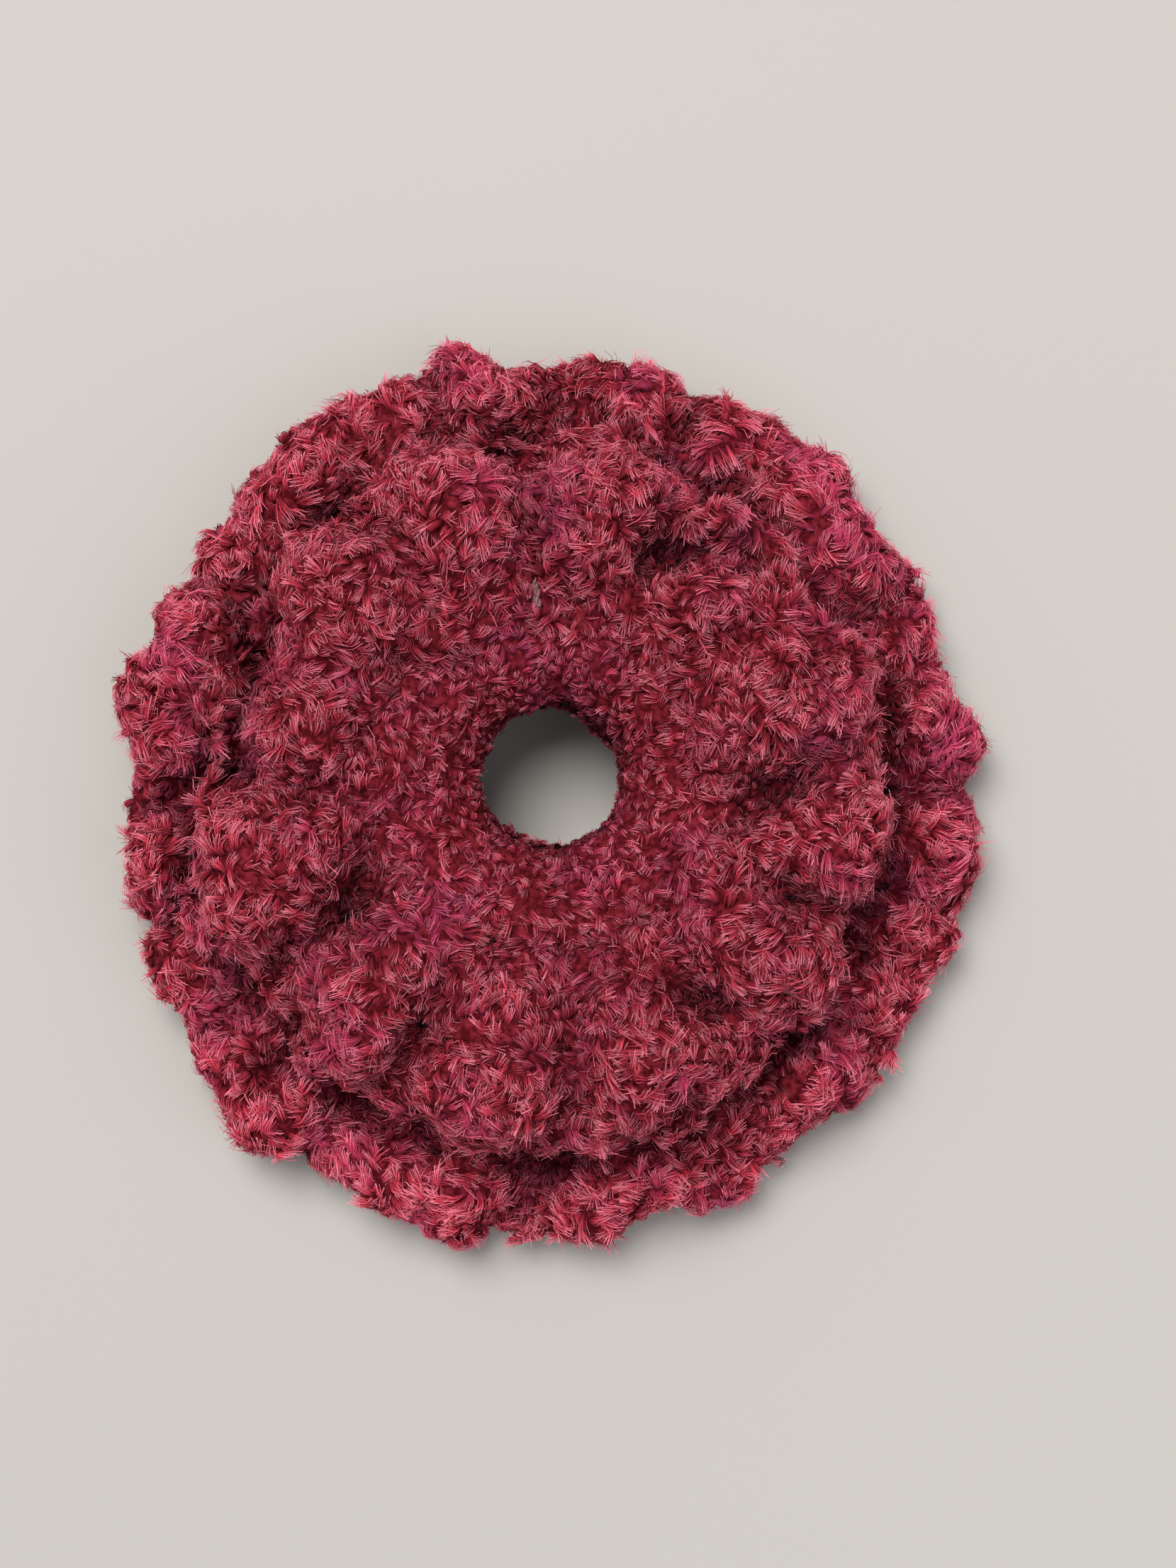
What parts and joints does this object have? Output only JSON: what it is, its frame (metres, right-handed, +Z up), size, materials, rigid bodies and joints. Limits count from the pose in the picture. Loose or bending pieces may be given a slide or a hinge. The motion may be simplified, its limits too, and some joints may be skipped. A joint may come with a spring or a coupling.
{
  "type": "scrunchie",
  "caption": "Plush crocheted scrunchie: a covered hair elastic inside a ring of stitches with a full layered ruffle that opens out as the ring is stretched.",
  "frame": {"origin": "centre of the ring, on the opening's axis and in the plane of the elastic", "axes": "+Z up along the opening's axis, out of the side with the upper folds; +X and +Y across the ring, with the elastic's splice towards +Y"},
  "size_m": [0.1328, 0.1338, 0.041],
  "materials": {
    "plush_yarn": "matte",
    "elastic_rubber": "matte",
    "elastic_braid": "matte",
    "splice_collar": "satin",
    "core_thread": "matte"
  },
  "bodies": {
    "sector_01": {"base_stitches_01": "plush_yarn", "lower_fold_01": "plush_yarn", "upper_fold_01": "plush_yarn"},
    "sector_02": {"base_stitches_02": "plush_yarn", "lower_fold_02": "plush_yarn", "upper_fold_02": "plush_yarn"},
    "sector_03": {"base_stitches_03": "plush_yarn", "lower_fold_03": "plush_yarn", "upper_fold_03": "plush_yarn"},
    "sector_04": {"base_stitches_04": "plush_yarn", "lower_fold_04": "plush_yarn", "upper_fold_04": "plush_yarn", "start_tail": "core_thread"},
    "sector_05": {"base_stitches_05": "plush_yarn", "lower_fold_05": "plush_yarn", "upper_fold_05": "plush_yarn"},
    "sector_06": {"base_stitches_06": "plush_yarn", "lower_fold_06": "plush_yarn", "upper_fold_06": "plush_yarn"},
    "sector_07": {"base_stitches_07": "plush_yarn", "lower_fold_07": "plush_yarn", "upper_fold_07": "plush_yarn"},
    "sector_08": {"base_stitches_08": "plush_yarn", "lower_fold_08": "plush_yarn", "upper_fold_08": "plush_yarn"},
    "sector_09": {"base_stitches_09": "plush_yarn", "lower_fold_09": "plush_yarn", "upper_fold_09": "plush_yarn"},
    "sector_10": {"base_stitches_10": "plush_yarn", "lower_fold_10": "plush_yarn", "upper_fold_10": "plush_yarn", "elastic_core": "elastic_rubber", "elastic_sleeve": "elastic_braid", "elastic_splice": "splice_collar", "finishing_tail": "core_thread"},
    "sector_11": {"base_stitches_11": "plush_yarn", "lower_fold_11": "plush_yarn", "upper_fold_11": "plush_yarn"},
    "sector_12": {"base_stitches_12": "plush_yarn", "lower_fold_12": "plush_yarn", "upper_fold_12": "plush_yarn"}
  },
  "joints": [
    {"name": "stretch", "type": "slide", "parent": "sector_10", "child": "sector_11", "axis": [0.866, 0.5, 0], "range_m": [0, 0.00932], "stiffness_N_per_m": 640, "deforming": ["elastic_core", "elastic_sleeve", "elastic_splice"]},
    {"name": "stretch_12", "type": "slide", "parent": "sector_11", "child": "sector_12", "axis": [0.5, 0.866, 0], "range_m": [0, 0.00932], "stiffness_N_per_m": 640},
    {"name": "stretch_01", "type": "slide", "parent": "sector_12", "child": "sector_01", "axis": [0, 1, 0], "range_m": [0, 0.00932], "stiffness_N_per_m": 640},
    {"name": "stretch_02", "type": "slide", "parent": "sector_01", "child": "sector_02", "axis": [-0.5, 0.866, 0], "range_m": [0, 0.00932], "stiffness_N_per_m": 640},
    {"name": "stretch_03", "type": "slide", "parent": "sector_02", "child": "sector_03", "axis": [-0.866, 0.5, 0], "range_m": [0, 0.00932], "stiffness_N_per_m": 640},
    {"name": "stretch_09", "type": "slide", "parent": "sector_10", "child": "sector_09", "axis": [-1, 0, 0], "range_m": [0, 0.00932], "stiffness_N_per_m": 640},
    {"name": "stretch_08", "type": "slide", "parent": "sector_09", "child": "sector_08", "axis": [-0.866, 0.5, 0], "range_m": [0, 0.00932], "stiffness_N_per_m": 640},
    {"name": "stretch_07", "type": "slide", "parent": "sector_08", "child": "sector_07", "axis": [-0.5, 0.866, 0], "range_m": [0, 0.00932], "stiffness_N_per_m": 640},
    {"name": "stretch_06", "type": "slide", "parent": "sector_07", "child": "sector_06", "axis": [0, 1, 0], "range_m": [0, 0.00932], "stiffness_N_per_m": 640},
    {"name": "stretch_05", "type": "slide", "parent": "sector_06", "child": "sector_05", "axis": [0.5, 0.866, 0], "range_m": [0, 0.00932], "stiffness_N_per_m": 640},
    {"name": "stretch_04", "type": "slide", "parent": "sector_05", "child": "sector_04", "axis": [0.866, 0.5, 0], "range_m": [0, 0.00932], "stiffness_N_per_m": 640}
  ],
  "couplings": [
    {"joint": "stretch_12", "follows": "stretch", "ratio": 1},
    {"joint": "stretch_01", "follows": "stretch", "ratio": 1},
    {"joint": "stretch_02", "follows": "stretch", "ratio": 1},
    {"joint": "stretch_03", "follows": "stretch", "ratio": 1},
    {"joint": "stretch_09", "follows": "stretch", "ratio": 1},
    {"joint": "stretch_08", "follows": "stretch", "ratio": 1},
    {"joint": "stretch_07", "follows": "stretch", "ratio": 1},
    {"joint": "stretch_06", "follows": "stretch", "ratio": 1},
    {"joint": "stretch_05", "follows": "stretch", "ratio": 1},
    {"joint": "stretch_04", "follows": "stretch", "ratio": 1}
  ]
}
